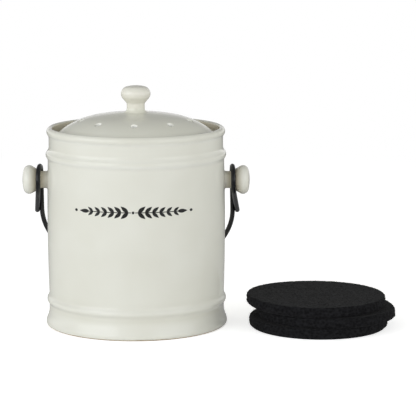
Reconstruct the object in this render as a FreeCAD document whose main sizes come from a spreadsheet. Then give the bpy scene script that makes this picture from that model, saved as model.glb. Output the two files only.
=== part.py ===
import FreeCAD, Part
import math
import os
from types import SimpleNamespace

import Sketcher

# A ceramic compost bin: a crock with two side knobs and a wire bail, a vented lid with a knob,
# a filter pad under the lid and three spare pads stacked beside the bin.
# Origin: centre of the foot on the table. +X is to the right, -Y is the front, +Z is up.

doc = FreeCAD.newDocument("compost_bin")

# Driving dimensions, in millimetres unless the name says degrees, share or count
DIMENSIONS = [
    # Crock, outside
    ("crock_height", 191.5),
    ("barrel_swell", 0.95),
    ("neck_inset", 1.05),
    ("foot_spread", 3.0),
    ("foot_round", 2.2),
    ("foot_crest", 3.0),
    ("foot_convex", 8.0),
    ("foot_concave", 24.0),
    ("bead_proud", 1.95),
    ("bead_convex", 4.6),
    ("bead_concave", 6.0),
    ("lower_bead_height", 25.0),
    ("upper_bead_drop", 26.3),
    ("lip_proud", 2.0),
    ("lip_round", 4.6),
    ("lip_concave", 4.7),
    ("lip_inner_round", 2.0),
    ("lip_turn_degrees", 60.0),
    # Crock, inside and underneath
    ("wall", 6.0),
    ("floor", 6.5),
    ("floor_round", 12.0),
    ("foot_recess", 3.0),
    ("foot_width", 11.0),
    ("gallery_depth", 13.0),
    ("gallery_thickness", 5.0),
    ("gallery_round", 1.5),
    # Side knobs
    ("side_knob_drop", 51.5),
    ("side_stem_radius", 8.3),
    ("side_head_radius", 13.9),
    ("side_head_round", 5.4),
    ("side_head_reach", 18.3),
    ("side_crown", 6.4),
    ("side_cheek_degrees", 30.0),
    ("side_neck_round", 4.0),
    # Lid
    ("lid_seat", 3.85),
    ("lid_edge_gap", 4.1),
    ("lid_edge_thickness", 6.2),
    ("lid_edge_round", 2.4),
    ("lid_foot_round", 1.5),
    ("dome_rise", 26.9),
    ("dome_crown_radius", 230.0),
    ("dome_crown_degrees", 10.0),
    ("lid_wall", 5.5),
    ("skirt_wall", 4.2),
    ("skirt_cover", 2.0),
    ("skirt_gap", 1.5),
    ("filter_ledge", 5.3),
    ("filter_lift", 0.5),
    ("vent_count", 9),
    ("vent_radius", 2.45),
    ("vent_ring_inset", 9.0),
    ("vent_round", 1.6),
    ("boss_flare", 4.5),
    # Lid knob
    ("lid_neck_radius", 8.6),
    ("lid_head_radius", 14.15),
    ("lid_head_round", 7.2),
    ("lid_head_lift", 13.7),
    ("lid_crown", 8.0),
    ("lid_cheek_degrees", 40.0),
    ("lid_neck_round", 3.0),
    # Bail
    ("wire_radius", 2.3),
    ("hook_reach", 8.6),
    ("hook_shift", 0.8),
    ("knee_run", 4.2),
    ("tail_past_knee", 3.6),
    ("tail_gap", 0.1),
    ("tail_round", 0.9),
    ("bail_rest_rise", 1.0),
    # Filter pads
    ("pad_radius", 66.5),
    ("pad_thickness", 10.3),
    ("pad_round", 1.6),
    ("stack_gap", 21.7),
    ("stack_front", 15.5),
    ("middle_pad_right", 7.2),
    ("top_pad_left", 2.5),
    # Clearances
    ("slip_clearance", 0.3),
    ("hook_clearance", 0.7),
]

sheet = doc.addObject("Spreadsheet::Sheet", "sizes")
for row, (alias, number) in enumerate(DIMENSIONS, 1):
    sheet.set(f"A{row}", alias)
    sheet.set(f"B{row}", str(number))
    sheet.setAlias(f"B{row}", alias)
doc.recompute()


class Size:
    """A number that follows from the sheet, with the expression that keeps a feature bound to it."""

    def __init__(self, value, text):
        self.value = value
        self.text = text

    def __add__(self, other):
        other = as_size(other)
        return Size(self.value + other.value, f"({self.text} + {other.text})")

    def __sub__(self, other):
        other = as_size(other)
        return Size(self.value - other.value, f"({self.text} - {other.text})")

    def __mul__(self, other):
        other = as_size(other)
        return Size(self.value * other.value, f"({self.text} * {other.text})")

    def __truediv__(self, other):
        other = as_size(other)
        return Size(self.value / other.value, f"({self.text} / {other.text})")


def as_size(number):
    return number if isinstance(number, Size) else Size(float(number), repr(float(number)))


def root(size):
    return Size(math.sqrt(size.value), f"sqrt({size.text})")


def sine(size):
    return Size(math.sin(math.radians(size.value)), f"sin({size.text})")


def cosine(size):
    return Size(math.cos(math.radians(size.value)), f"cos({size.text})")


s = SimpleNamespace(
    **{alias: Size(float(sheet.get(alias)), f"sizes.{alias}") for alias, number in DIMENSIONS}
)
ZERO = as_size(0)


def bind(thing, prop, size):
    """Sets a property of a feature to a size and keeps it bound to the sheet."""
    thing.setExpression(prop, size.text)


def move(thing, x, y, z):
    bind(thing, "Placement.Base.x", x)
    bind(thing, "Placement.Base.y", y)
    bind(thing, "Placement.Base.z", z)


def flat(point):
    return FreeCAD.Vector(point[0].value, point[1].value, 0)


def line_to(across, up):
    return (across, up), None


def arc_to(across, up, centre):
    return (across, up), centre


def fix_point(sketch, item, spot, point):
    """Ties one point of a sketch to its two sizes; a zero puts it on the axis."""
    for kind, size, axis in (("DistanceX", point[0], -2), ("DistanceY", point[1], -1)):
        if size is ZERO:
            sketch.addConstraint(Sketcher.Constraint("PointOnObject", item, spot, axis))
        else:
            number = sketch.addConstraint(Sketcher.Constraint(kind, -1, 1, item, spot, size.value))
            sketch.setExpression(f"Constraints[{number}]", size.text)


def draw_outline(sketch, outline):
    """Draws a closed outline of lines and arcs; each step ends at its own corner, bound to the sheet."""
    ends = []
    for index, (corner, centre) in enumerate(outline):
        start = flat(outline[index - 1][0])
        end = flat(corner)
        if centre is None:
            item = sketch.addGeometry(Part.LineSegment(start, end))
            ends.append((item, 1, 2))
            continue
        middle = flat(centre)
        spoke = start - middle
        radius = spoke.Length
        halfway = spoke + (end - middle)
        halfway.normalize()
        halfway = middle + halfway * radius
        turns_left = spoke.cross(end - middle).z > 0
        first, last = (start, end) if turns_left else (end, start)
        item = sketch.addGeometry(Part.Arc(first, halfway, last))
        ends.append((item, 1, 2) if turns_left else (item, 2, 1))
    for index, (item, head, tail) in enumerate(ends):
        before, _, before_tail = ends[index - 1]
        sketch.addConstraint(Sketcher.Constraint("Coincident", before, before_tail, item, head))
    for index, (corner, centre) in enumerate(outline):
        item, _, tail = ends[index]
        fix_point(sketch, item, tail, corner)
        if centre is not None:
            spread = root((corner[0] - centre[0]) * (corner[0] - centre[0])
                          + (corner[1] - centre[1]) * (corner[1] - centre[1]))
            number = sketch.addConstraint(Sketcher.Constraint("Radius", item, spread.value))
            sketch.setExpression(f"Constraints[{number}]", spread.text)


def origin_plane(body, role):
    return next(feature for feature in body.Origin.OriginFeatures if feature.Role == role)


def sketch_on(body, name, role):
    sketch = body.newObject("Sketcher::SketchObject", name)
    sketch.AttachmentSupport = [(origin_plane(body, role), "")]
    sketch.MapMode = "FlatFace"
    return sketch


def turned(body, name, outline):
    """A solid of revolution about the body's own Z axis."""
    sketch = sketch_on(body, f"{name}_section", "XZ_Plane")
    draw_outline(sketch, outline)
    solid = body.newObject("PartDesign::Revolution", name)
    solid.Profile = sketch
    solid.ReferenceAxis = (sketch, ["V_Axis"])
    solid.Angle = 360
    doc.recompute()
    return solid


def ring_edges(feature, radius, height):
    """Names of the circular edges about Z that have this radius and height."""
    near = 0.001
    names = []
    for number, edge in enumerate(feature.Shape.Edges, 1):
        if edge.Degenerated or not isinstance(edge.Curve, Part.Circle):
            continue
        curve = edge.Curve
        if abs(curve.Radius - radius.value) < near and abs(curve.Center.z - height.value) < near:
            names.append(f"Edge{number}")
    return names


def rounded(body, name, base, edges, radius):
    fillet = body.newObject("PartDesign::Fillet", name)
    fillet.Base = (base, edges)
    bind(fillet, "Radius", radius)
    doc.recompute()
    return fillet


def ogee(rise, convex, concave):
    """Height of a curve from crest to hollow, the share of it that is crest, and its arcs' offset."""
    both = convex + concave
    height = root(rise * both * 2 - rise * rise)
    return height, convex / both, both - rise


# Levels that several pieces share
gallery_height = s.crock_height - s.gallery_depth
upper_bead_height = s.crock_height - s.upper_bead_drop
side_knob_height = s.crock_height - s.side_knob_drop
filter_top = gallery_height + s.filter_lift

# Radii, from the filter pad outwards: the lid holds the pad, and the crock is made round the lid
recess_radius = s.pad_radius + s.slip_clearance
skirt_radius = recess_radius + s.skirt_wall
gallery_radius = skirt_radius + s.skirt_gap
lid_radius = gallery_radius + s.lid_seat
rim_inner_radius = lid_radius + s.lid_edge_gap
rim_centre_across = rim_inner_radius + s.lip_inner_round
rim_centre_height = s.crock_height - s.lip_inner_round
lip_reach = s.lip_round - s.lip_inner_round
lip_centre_across = rim_centre_across - lip_reach * cosine(s.lip_turn_degrees)
lip_centre_height = rim_centre_height - lip_reach * sine(s.lip_turn_degrees)
lip_radius = lip_centre_across + s.lip_round
neck_radius = lip_radius - s.lip_proud
wall_radius = neck_radius + s.neck_inset
inner_radius = wall_radius - s.wall
foot_radius = wall_radius + s.foot_spread
side_head_widest = wall_radius + s.side_head_reach
leg_from_axis = wall_radius + s.hook_reach


# Crock
crock = doc.addObject("PartDesign::Body", "crock")
crock.Label = "crock"


def bead_steps(height, below, above):
    """Steps of a bead round the wall, from the radius below it to the radius above it."""
    crest = wall_radius + s.bead_proud
    core = (crest - s.bead_convex, height)
    low_half, share, low_reach = ogee(crest - below, s.bead_convex, s.bead_concave)
    high_half, _, high_reach = ogee(crest - above, s.bead_convex, s.bead_concave)
    low_centre = (below + s.bead_concave, height - low_half)
    high_centre = (above + s.bead_concave, height + high_half)
    return [
        line_to(below, height - low_half),
        arc_to(core[0] + low_reach * share, height - low_half * share, low_centre),
        arc_to(core[0] + high_reach * share, height + high_half * share, core),
        arc_to(above, height + high_half, high_centre),
    ]


foot_half, foot_share, foot_reach = ogee(s.foot_spread, s.foot_convex, s.foot_concave)
foot_core = (foot_radius - s.foot_convex, s.foot_crest)
foot_hollow = (wall_radius + s.foot_concave, s.foot_crest + foot_half)
lip_half, lip_share, lip_out = ogee(s.lip_proud, s.lip_round, s.lip_concave)
lip_core = (lip_centre_across, lip_centre_height)
lip_hollow = (neck_radius + s.lip_concave, lip_centre_height - lip_half)
rim_core = (rim_centre_across, rim_centre_height)
floor_height = s.foot_recess + s.floor
gallery_under = gallery_height - s.gallery_thickness
lower_bead = bead_steps(s.lower_bead_height, wall_radius, wall_radius)
upper_bead = bead_steps(upper_bead_height, wall_radius, neck_radius)
barrel_low = lower_bead[-1][0][1]
barrel_high = upper_bead[0][0][1]
barrel_half = (barrel_high - barrel_low) / 2
barrel_radius = (barrel_half * barrel_half + s.barrel_swell * s.barrel_swell) / (s.barrel_swell * 2)
barrel_core = (wall_radius + s.barrel_swell - barrel_radius, barrel_low + barrel_half)

crock_outline = [
    line_to(ZERO, s.foot_recess),
    line_to(foot_radius - s.foot_width, s.foot_recess),
    line_to(foot_radius - s.foot_width, ZERO),
    line_to(foot_radius - s.foot_round, ZERO),
    arc_to(foot_radius, s.foot_round, (foot_radius - s.foot_round, s.foot_round)),
    line_to(foot_radius, s.foot_crest),
    arc_to(foot_core[0] + foot_reach * foot_share, s.foot_crest + foot_half * foot_share, foot_core),
    arc_to(wall_radius, s.foot_crest + foot_half, foot_hollow),
    *lower_bead,
    arc_to(wall_radius, barrel_high, barrel_core),
    *upper_bead[1:],
    line_to(neck_radius, lip_centre_height - lip_half),
    arc_to(lip_core[0] + lip_out * lip_share, lip_centre_height - lip_half * lip_share, lip_hollow),
    arc_to(
        lip_core[0] + s.lip_round * cosine(s.lip_turn_degrees),
        lip_core[1] + s.lip_round * sine(s.lip_turn_degrees),
        lip_core,
    ),
    arc_to(rim_inner_radius, rim_centre_height, rim_core),
    line_to(rim_inner_radius, gallery_height),
    line_to(gallery_radius, gallery_height),
    line_to(gallery_radius, gallery_under),
    line_to(inner_radius, gallery_under - (inner_radius - gallery_radius)),
    line_to(inner_radius, floor_height + s.floor_round),
    arc_to(
        inner_radius - s.floor_round,
        floor_height,
        (inner_radius - s.floor_round, floor_height + s.floor_round),
    ),
    line_to(ZERO, floor_height),
]
crock_wall = turned(crock, "crock_wall", crock_outline)
gallery_edges = (
    ring_edges(crock_wall, rim_inner_radius, gallery_height)
    + ring_edges(crock_wall, gallery_radius, gallery_height)
    + ring_edges(crock_wall, gallery_radius, gallery_under)
    + ring_edges(crock_wall, foot_radius - s.foot_width, ZERO)
)
rounded(crock, "crock_edges", crock_wall, gallery_edges, s.gallery_round)


def knob_outline(base, stem, head, shoulder, widest, crown, cheek, neck):
    """Outline of a turned knob: stem, hollow neck, straight cheek, rounded shoulder and flat crown."""
    core = (head - shoulder, widest)
    crown_radius = (core[0] * core[0] + crown * crown - shoulder * shoulder) / ((crown - shoulder) * 2)
    crown_core = (ZERO, widest + crown - crown_radius)
    lean = core[0] / (crown_radius - shoulder)
    stand = (widest - crown_core[1]) / (crown_radius - shoulder)
    cheek_top = (core[0] + shoulder * cosine(cheek), widest - shoulder * sine(cheek))
    cheek_foot_across = stem + neck - neck * cosine(cheek)
    fall = (cheek_top[0] - cheek_foot_across) * cosine(cheek) / sine(cheek)
    cheek_foot = (cheek_foot_across, cheek_top[1] - fall)
    neck_core = (stem + neck, cheek_foot[1] - neck * sine(cheek))
    return [
        line_to(ZERO, base),
        line_to(stem, base),
        line_to(stem, neck_core[1]),
        arc_to(cheek_foot[0], cheek_foot[1], neck_core),
        line_to(cheek_top[0], cheek_top[1]),
        arc_to(crown_radius * lean, crown_core[1] + crown_radius * stand, core),
        arc_to(ZERO, widest + crown, crown_core),
    ], cheek_top


# Side knobs: turned, then cut to the curve of the wall that they are luted to
def side_knob(label, heading):
    outline, cheek_top = knob_outline(
        wall_radius - s.wall / 2,
        s.side_stem_radius,
        s.side_head_radius,
        s.side_head_round,
        side_head_widest,
        s.side_crown,
        s.side_cheek_degrees,
        s.side_neck_round,
    )
    blank = doc.addObject("PartDesign::Body", f"{label}_blank")
    turned(blank, f"{label}_turning", outline)
    blank.Placement = FreeCAD.Placement(
        FreeCAD.Vector(0, 0, 0), FreeCAD.Rotation(FreeCAD.Vector(0, 1, 0), 90 * heading)
    )
    move(blank, ZERO, ZERO, side_knob_height)
    knob = doc.addObject("Part::Cut", label)
    knob.Label = label
    knob.Base = blank
    knob.Tool = crock
    doc.recompute()
    return knob, cheek_top


right_side_knob, side_cheek_top = side_knob("right_side_knob", 1)
left_side_knob, _ = side_knob("left_side_knob", -1)


# Lid
lid = doc.addObject("PartDesign::Body", "lid")
lid.Label = "lid"
dome_top = gallery_height + s.dome_rise
lid_edge_height = gallery_height + s.lid_edge_thickness
crown_sine = sine(s.dome_crown_degrees)
crown_cosine = cosine(s.dome_crown_degrees)
crown_core = (ZERO, dome_top - s.dome_crown_radius)
crown_end = (s.dome_crown_radius * crown_sine, crown_core[1] + s.dome_crown_radius * crown_cosine)
fall_across = lid_radius - crown_end[0]
fall_down = crown_end[1] - lid_edge_height
dome_shoulder_radius = (fall_across * fall_across + fall_down * fall_down) / (
    (fall_down * crown_cosine - fall_across * crown_sine) * 2
)
shoulder_core = (
    crown_end[0] - dome_shoulder_radius * crown_sine,
    crown_end[1] - dome_shoulder_radius * crown_cosine,
)


def dome_height(radius, across):
    """Height of the dome's shoulder of this radius at a distance from the axis."""
    out = across - shoulder_core[0]
    return shoulder_core[1] + root(radius * radius - out * out)


flare_across = s.lid_neck_radius + s.boss_flare
flare_reach = s.dome_crown_radius + s.boss_flare
flare_height = crown_core[1] + root(flare_reach * flare_reach - flare_across * flare_across)
flare_core = (flare_across, flare_height)
flare_share = s.dome_crown_radius / flare_reach
inner_crown = s.dome_crown_radius - s.lid_wall
inner_shoulder = dome_shoulder_radius - s.lid_wall
ledge_radius = recess_radius - s.filter_ledge
vent_ring_radius = ledge_radius - s.vent_ring_inset
skirt_foot = filter_top - s.pad_thickness - s.skirt_cover

lid_outline = [
    line_to(ZERO, flare_height),
    line_to(s.lid_neck_radius, flare_height),
    arc_to(
        flare_across * flare_share,
        crown_core[1] + (flare_height - crown_core[1]) * flare_share,
        flare_core,
    ),
    arc_to(crown_end[0], crown_end[1], crown_core),
    arc_to(lid_radius, lid_edge_height, shoulder_core),
    line_to(lid_radius, gallery_height),
    line_to(skirt_radius, gallery_height),
    line_to(skirt_radius, skirt_foot),
    line_to(recess_radius, skirt_foot),
    line_to(recess_radius, filter_top),
    line_to(ledge_radius, filter_top),
    line_to(ledge_radius, dome_height(inner_shoulder, ledge_radius)),
    arc_to(inner_crown * crown_sine, crown_core[1] + inner_crown * crown_cosine, shoulder_core),
    arc_to(ZERO, crown_core[1] + inner_crown, crown_core),
]
lid_shell = turned(lid, "lid_shell", lid_outline)
lid_edge = rounded(
    lid, "lid_edge", lid_shell, ring_edges(lid_shell, lid_radius, lid_edge_height), s.lid_edge_round
)
lid_foot_edges = (
    ring_edges(lid_edge, lid_radius, gallery_height)
    + ring_edges(lid_edge, skirt_radius, skirt_foot)
    + ring_edges(lid_edge, recess_radius, skirt_foot)
)
lid_foot = rounded(lid, "lid_foot", lid_edge, lid_foot_edges, s.lid_foot_round)

vent_sketch = sketch_on(lid, "vent_sketch", "XY_Plane")
vent_circle = vent_sketch.addGeometry(
    Part.Circle(
        FreeCAD.Vector(0, -vent_ring_radius.value, 0), FreeCAD.Vector(0, 0, 1), s.vent_radius.value
    )
)
fix_point(vent_sketch, vent_circle, 3, (ZERO, ZERO - vent_ring_radius))
vent_size = vent_sketch.addConstraint(Sketcher.Constraint("Radius", vent_circle, s.vent_radius.value))
vent_sketch.setExpression(f"Constraints[{vent_size}]", s.vent_radius.text)
vent = lid.newObject("PartDesign::Pocket", "vent")
vent.Profile = vent_sketch
vent.Type = "ThroughAll"
vent.Reversed = True
doc.recompute()
vents = lid.newObject("PartDesign::PolarPattern", "vents")
vents.Originals = [vent]
vents.Axis = (vent_sketch, ["N_Axis"])
vents.Angle = 360
bind(vents, "Occurrences", s.vent_count)
lid.Tip = vents
doc.recompute()
if vents.Shape.Volume >= vent.Shape.Volume or vent.Shape.Volume >= lid_foot.Shape.Volume:
    raise RuntimeError("the vents cut nothing out of the lid")


def vent_mouths(shape):
    """Names of the upper edges of the vents, which the glaze rounds."""
    names = []
    for number, edge in enumerate(shape.Edges, 1):
        if edge.Degenerated:
            continue
        middle = edge.BoundBox.Center
        off_ring = abs(math.hypot(middle.x, middle.y) - vent_ring_radius.value)
        upper = middle.z > dome_height(dome_shoulder_radius - s.lid_wall / 2, vent_ring_radius).value
        small = edge.BoundBox.DiagonalLength < s.vent_radius.value * 4
        if upper and small and off_ring < s.vent_radius.value / 2:
            names.append(f"Edge{number}")
    return names


rounded(lid, "vent_edges", vents, vent_mouths(vents.Shape), s.vent_round)


# Lid knob: luted to the boss on top of the dome
lid_knob = doc.addObject("PartDesign::Body", "lid_knob")
lid_knob.Label = "lid_knob"
lid_knob_outline, _ = knob_outline(
    flare_height,
    s.lid_neck_radius,
    s.lid_head_radius,
    s.lid_head_round,
    flare_height + s.lid_head_lift,
    s.lid_crown,
    s.lid_cheek_degrees,
    s.lid_neck_round,
)
turned(lid_knob, "lid_knob_turning", lid_knob_outline)


# Filter pads
def pad(label, across, back, height):
    body = doc.addObject("PartDesign::Body", label)
    body.Label = label
    sketch = sketch_on(body, f"{label}_circle", "XY_Plane")
    middle = FreeCAD.Vector(0, 0, 0)
    circle = sketch.addGeometry(Part.Circle(middle, FreeCAD.Vector(0, 0, 1), s.pad_radius.value))
    fix_point(sketch, circle, 3, (ZERO, ZERO))
    number = sketch.addConstraint(Sketcher.Constraint("Radius", circle, s.pad_radius.value))
    sketch.setExpression(f"Constraints[{number}]", s.pad_radius.text)
    disc = body.newObject("PartDesign::Pad", f"{label}_disc")
    disc.Profile = sketch
    bind(disc, "Length", s.pad_thickness)
    doc.recompute()
    edges = ring_edges(disc, s.pad_radius, ZERO) + ring_edges(disc, s.pad_radius, s.pad_thickness)
    rounded(body, f"{label}_edges", disc, edges, s.pad_round)
    move(body, across, back, height)
    return body


stack_right = foot_radius + s.stack_gap + s.pad_radius
stack_back = ZERO - s.stack_front
fitted_filter = pad("fitted_filter", ZERO, ZERO, filter_top - s.pad_thickness)
spare_filters = [
    pad("spare_filter_bottom", stack_right, stack_back, ZERO),
    pad("spare_filter_middle", stack_right + s.middle_pad_right, stack_back, s.pad_thickness),
    pad("spare_filter_top", stack_right - s.top_pad_left, stack_back, s.pad_thickness * 2),
]


# Bail: one wire, bent to a U, that hooks round the stem of each side knob
def joint_line(start, heading, end):
    """A line, or the arc that leaves the start along the heading, and the heading it arrives with."""
    chord = end - start
    along = heading * chord.dot(heading)
    aside = chord - along
    straight = 0.000001
    if aside.Length < straight * chord.Length:
        return Part.LineSegment(start, end), heading
    inward = FreeCAD.Vector(aside)
    inward.normalize()
    radius = chord.Length ** 2 / (aside.Length * 2)
    core = start + inward * radius
    arrive = chord * (2 * chord.dot(heading) / chord.Length ** 2) - heading
    out = (start - core) + (end - core)
    if out.Length < straight * radius:
        out = FreeCAD.Vector(heading)
    elif chord.dot(heading) < 0:
        out = out * -1
    out.normalize()
    return Part.Arc(start, core + out * radius, end), arrive


def curve_between(start, heading, end, arrival):
    """Two arcs that leave one point along one heading and reach another along another."""
    chord = end - start
    both = heading + arrival
    spread = 2 * (1 - heading.dot(arrival))
    lean = chord.dot(both)
    level = 0.000001
    if spread < level:
        reach = chord.dot(chord) / (2 * lean)
    else:
        reach = (math.sqrt(lean * lean + spread * chord.dot(chord)) - lean) / spread
    meet = (start + heading * reach + end - arrival * reach) * 0.5
    first, turn = joint_line(start, heading, meet)
    second, _ = joint_line(meet, turn, end)
    return [first, second]


def unit(vector):
    vector = FreeCAD.Vector(vector)
    vector.normalize()
    return vector


def bail_point(across, forward, down):
    """A point in the bail's own frame, hanging straight down from its hinge axis."""
    return FreeCAD.Vector(across, -forward, -down)


# The bail rests on the wall just above the lower bead, and that sets its length and its lean
touch_height = barrel_low.value + s.bail_rest_rise.value
touch_off = touch_height - barrel_core[1].value
touch_radius = barrel_core[0].value + math.sqrt(barrel_radius.value ** 2 - touch_off ** 2)
rest_out = touch_radius + s.wire_radius.value + s.slip_clearance.value
rest_down = side_knob_height.value - touch_height
bail_length = math.hypot(rest_out, rest_down)
bail_lean = math.degrees(math.atan2(rest_out, rest_down))
arc_start = bail_length - leg_from_axis.value
knee_down = arc_start - s.knee_run.value
tail_down = knee_down + s.tail_past_knee.value


def eye_radius():
    """Radius of the hook's bend, which clears the sloping neck of the side knob."""
    slope = sine(s.side_cheek_degrees) / cosine(s.side_cheek_degrees)
    back_off = side_cheek_top[1] - leg_from_axis - s.hook_shift
    neck = side_cheek_top[0] - back_off * slope
    return (neck + (s.wire_radius + s.hook_clearance) / cosine(s.side_cheek_degrees)).value


def tangent_point(radius, down):
    """How far aside and down a line from a point below the eye touches the eye's circle."""
    taper = radius / down
    return radius * math.sqrt(1 - taper * taper), radius * taper


def hook_path(side):
    """The wire of one hook: up the tail, over the stem and down to the start of the big arc."""
    leg = side * leg_from_axis.value
    shift = side * s.hook_shift.value
    beside_tail = side * (s.wire_radius.value * 2 + s.tail_gap.value)
    radius = eye_radius()
    front_aside, front_down = tangent_point(radius, tail_down)
    back_aside, back_down = tangent_point(radius, knee_down)
    tail_end = bail_point(leg + beside_tail, 0, tail_down)
    front = bail_point(leg + shift, front_aside, front_down)
    top = bail_point(leg, 0, -radius)
    back = bail_point(leg - shift, -back_aside, back_down)
    knee = bail_point(leg, 0, knee_down)
    leg_end = bail_point(leg, 0, arc_start)
    rise = unit(front - tail_end)
    over = unit(bail_point(-shift, -radius, 0))
    drop = unit(knee - back)
    knee_start = knee - drop * s.knee_run.value
    path = [
        Part.LineSegment(tail_end, front),
        *curve_between(front, rise, top, over),
        *curve_between(top, over, back, drop),
        Part.LineSegment(back, knee_start),
        *curve_between(knee_start, drop, leg_end, unit(leg_end - knee)),
    ]
    return path, tail_end, rise


def is_tail_edge(edge, tail_end):
    """True for the circle at the end of either tail."""
    if edge.Degenerated or not isinstance(edge.Curve, Part.Circle):
        return False
    centre = edge.Curve.Center
    mirrored = FreeCAD.Vector(abs(centre.x), centre.y, centre.z)
    return (mirrored - tail_end).Length < s.tail_round.value


def bail_shape():
    right, tail_end, rise = hook_path(1)
    left, _, _ = hook_path(-1)
    lowest = bail_point(0, 0, bail_length)
    big_arc = Part.Arc(right[-1].EndPoint, lowest, left[-1].EndPoint)
    edges = [piece.toShape() for piece in [*right, big_arc, *left[::-1]]]
    path = Part.Wire(Part.__sortEdges__(edges))
    ring = Part.Wire(Part.makeCircle(s.wire_radius.value, tail_end, rise))
    solid = path.makePipeShell([ring], True, False)
    ends = [edge for edge in solid.Edges if is_tail_edge(edge, tail_end)]
    return solid.makeFillet(s.tail_round.value, ends)


bail = doc.addObject("Part::Feature", "bail_handle")
bail.Label = "bail_handle"
bail.Shape = bail_shape()
bail.Placement = FreeCAD.Placement(
    FreeCAD.Vector(0, 0, side_knob_height.value),
    FreeCAD.Rotation(FreeCAD.Vector(1, 0, 0), bail_lean),
)
print(f"bail leans {bail_lean:.3f} degrees from straight down, {bail_length:.2f} mm long")


# Checks and export
doc.recompute()
sub_parts = [
    crock,
    left_side_knob,
    right_side_knob,
    lid,
    lid_knob,
    bail,
    fitted_filter,
    *spare_filters,
]
for thing in doc.Objects:
    if "Invalid" in thing.State or "Error" in thing.State:
        raise RuntimeError(f"{thing.Label} did not build: {thing.State}")
os.makedirs("parts", exist_ok=True)
for part in sub_parts:
    shape = part.Shape
    if shape.isNull() or not shape.isValid() or len(shape.Solids) != 1:
        raise RuntimeError(f"{part.Label} is not one sound solid")
    shape.exportStep(f"parts/{part.Label}.step")
    print(f"{part.Label}: {shape.Volume / 1000:.1f} cm3")
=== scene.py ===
# %% [markdown]
# # A ceramic compost bin, dressed in Blender
# The bin is a glazed crock with a vented lid, a wire bail and black carbon filter pads. Its solids
# arrive as a fixed frame in metres: +X is right, -Y is the front and +Z is up. This lesson adds what
# the solids lack: glaze and bare clay, powder coat, a printed sprig, and pads with a felted surface.

import math

import bmesh
import bpy
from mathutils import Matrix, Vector, noise
from mathutils.bvhtree import BVHTree


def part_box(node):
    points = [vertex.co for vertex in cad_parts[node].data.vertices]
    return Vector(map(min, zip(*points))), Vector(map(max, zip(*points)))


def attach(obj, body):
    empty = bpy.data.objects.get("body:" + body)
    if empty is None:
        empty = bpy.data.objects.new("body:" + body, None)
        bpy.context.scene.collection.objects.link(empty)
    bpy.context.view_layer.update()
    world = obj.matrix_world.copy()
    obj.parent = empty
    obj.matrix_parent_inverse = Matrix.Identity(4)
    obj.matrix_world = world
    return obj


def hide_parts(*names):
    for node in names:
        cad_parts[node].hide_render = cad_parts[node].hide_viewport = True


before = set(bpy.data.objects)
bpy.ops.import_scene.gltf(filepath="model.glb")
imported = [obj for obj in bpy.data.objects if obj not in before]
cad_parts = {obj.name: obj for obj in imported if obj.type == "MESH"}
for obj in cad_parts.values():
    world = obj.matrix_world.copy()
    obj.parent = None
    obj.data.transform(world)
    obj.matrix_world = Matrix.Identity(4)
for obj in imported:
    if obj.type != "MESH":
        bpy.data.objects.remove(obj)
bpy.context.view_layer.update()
scene = bpy.context.scene
scene.view_settings.view_transform = "Standard"
MM = 0.001

# %% [markdown]
# ## The camera
# A product picture like this is taken from far away with a long lens, so that upright lines stay
# upright. The camera stands almost 2 m in front, a little right of the crock because the stack of pads
# shares the picture, and looks down by about nine degrees.

# %% Camera
LENS = 176.6
SENSOR_WIDTH = 36.0
CAMERA_PLACE = (0.0693, -1.947, 0.4318)
LOOK_DOWN = 9.325
camera_data = bpy.data.cameras.new("long_lens")
camera_data.lens = LENS
camera_data.sensor_width = SENSOR_WIDTH
camera = bpy.data.objects.new("camera", camera_data)
camera.location = CAMERA_PLACE
camera.rotation_euler = (math.radians(90.0 - LOOK_DOWN), 0.0, 0.0)
scene.collection.objects.link(camera)
scene.camera = camera
print("lens in mm:", round(camera_data.lens, 1))

# %% [markdown]
# ## Helpers for every material
# Colours are written as sRGB hex, as a colour picker shows them, and one function turns them into the
# linear numbers that a shader wants. A second adds a node, sets it and links it in one call; shader
# trees and geometry trees both use it. The rest start, end and put on a material, and turn the size of
# a grain in millimetres into the scale that a texture wants.

# %% Colour and node helpers


def linear(hex_colour):
    """Linear RGBA of a colour written as sRGB hex."""
    channels = [int(hex_colour[i:i + 2], 16) / 255 for i in (1, 3, 5)]
    return (*[c / 12.92 if c <= 0.04045 else ((c + 0.055) / 1.055) ** 2.4 for c in channels], 1.0)


def add(tree, kind, inputs=None, **settings):
    """Adds a node. An input is a value, an output, a node for its first output, or a list of these."""
    node = tree.nodes.new(kind)
    for name, value in settings.items():
        setattr(node, name, value)
    for name, given in (inputs or {}).items():
        for value in given if isinstance(given, list) else [given]:
            if isinstance(value, bpy.types.Node):
                value = next(socket for socket in value.outputs if socket.enabled)
            if isinstance(value, bpy.types.NodeSocket):
                tree.links.new(value, node.inputs[name])
            else:
                node.inputs[name].default_value = value
    return node


def start_material(name):
    """An empty material: itself, its tree and the place on the piece, in metres."""
    material = bpy.data.materials.new(name)
    material.use_nodes = True
    material.node_tree.nodes.clear()
    place = add(material.node_tree, "ShaderNodeTexCoord").outputs["Object"]
    return material, material.node_tree, place


def end_material(material, shader):
    """Links the last shader of a material to its surface."""
    add(material.node_tree, "ShaderNodeOutputMaterial", {"Surface": shader})
    return material


def dress(piece, material):
    """Gives a whole piece one material."""
    piece.data.materials.clear()
    piece.data.materials.append(material)


def per(size_mm):
    """The scale of a pattern whose grains are this many millimetres across."""
    return 1.0 / (size_mm * MM)


print("middle grey in linear light:", round(linear("#808080")[0], 3))

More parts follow.
